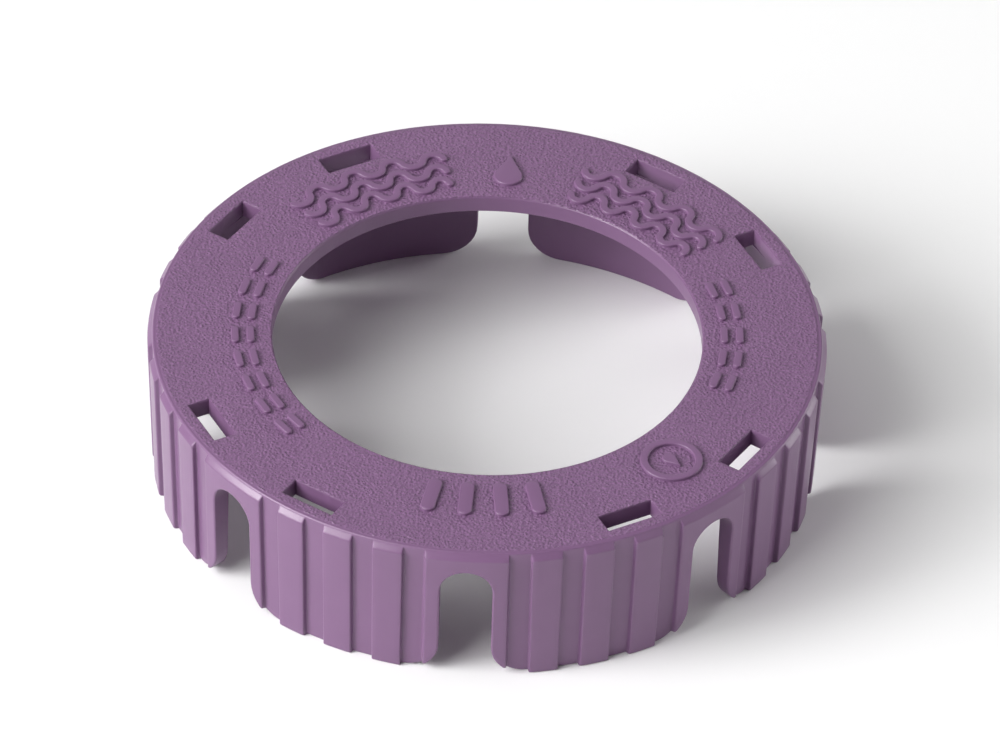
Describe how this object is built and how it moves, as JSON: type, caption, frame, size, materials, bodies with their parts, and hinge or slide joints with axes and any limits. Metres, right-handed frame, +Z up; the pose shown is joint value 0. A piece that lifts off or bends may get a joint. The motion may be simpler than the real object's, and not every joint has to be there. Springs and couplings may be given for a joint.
{
  "type": "pop-up sprinkler identification cover",
  "caption": "Snap-fit ring cover for a pop-up sprinkler cap: flat crown with a riser hole and windows, and a skirt of springy fingers with snap beads.",
  "frame": {"origin": "on the ring's axis, in the plane of the skirt's lower edge that the cover stands on", "axes": "+Z up along the ring's axis through the crown, -Y through the middle of one slot, +X through the middle of another"},
  "size_m": [0.0612, 0.0612, 0.0146],
  "materials": {
    "crown_plastic": "fine spark-eroded texture on the top face, smooth rim, muted purple",
    "skirt_plastic": "smooth satin moulded plastic, muted purple"
  },
  "bodies": {
    "crown": {"crown_ring": "crown_plastic"},
    "finger_1": {"skirt_finger_1": "skirt_plastic"},
    "finger_2": {"skirt_finger_2": "skirt_plastic"},
    "finger_3": {"skirt_finger_3": "skirt_plastic"},
    "finger_4": {"skirt_finger_4": "skirt_plastic"},
    "finger_5": {"skirt_finger_5": "skirt_plastic"},
    "finger_6": {"skirt_finger_6": "skirt_plastic"},
    "finger_7": {"skirt_finger_7": "skirt_plastic"},
    "finger_8": {"skirt_finger_8": "skirt_plastic"}
  },
  "joints": [
    {"name": "finger_1_bend", "type": "hinge", "parent": "crown", "child": "finger_1", "pos_m": [0.02818, 0.01167, 0.0118], "axis": [0.3827, -0.9239, 0], "range_deg": [0, 6], "stiffness_Nm_per_rad": 1},
    {"name": "finger_2_bend", "type": "hinge", "parent": "crown", "child": "finger_2", "pos_m": [0.01167, 0.02818, 0.0118], "axis": [0.9239, -0.3827, 0], "range_deg": [0, 6], "stiffness_Nm_per_rad": 1},
    {"name": "finger_3_bend", "type": "hinge", "parent": "crown", "child": "finger_3", "pos_m": [-0.01167, 0.02818, 0.0118], "axis": [0.9239, 0.3827, 0], "range_deg": [0, 6], "stiffness_Nm_per_rad": 1},
    {"name": "finger_4_bend", "type": "hinge", "parent": "crown", "child": "finger_4", "pos_m": [-0.02818, 0.01167, 0.0118], "axis": [0.3827, 0.9239, 0], "range_deg": [0, 6], "stiffness_Nm_per_rad": 1},
    {"name": "finger_5_bend", "type": "hinge", "parent": "crown", "child": "finger_5", "pos_m": [-0.02818, -0.01167, 0.0118], "axis": [-0.3827, 0.9239, 0], "range_deg": [0, 6], "stiffness_Nm_per_rad": 1},
    {"name": "finger_6_bend", "type": "hinge", "parent": "crown", "child": "finger_6", "pos_m": [-0.01167, -0.02818, 0.0118], "axis": [-0.9239, 0.3827, 0], "range_deg": [0, 6], "stiffness_Nm_per_rad": 1},
    {"name": "finger_7_bend", "type": "hinge", "parent": "crown", "child": "finger_7", "pos_m": [0.01167, -0.02818, 0.0118], "axis": [-0.9239, -0.3827, 0], "range_deg": [0, 6], "stiffness_Nm_per_rad": 1},
    {"name": "finger_8_bend", "type": "hinge", "parent": "crown", "child": "finger_8", "pos_m": [0.02818, -0.01167, 0.0118], "axis": [-0.3827, -0.9239, 0], "range_deg": [0, 6], "stiffness_Nm_per_rad": 1}
  ]
}
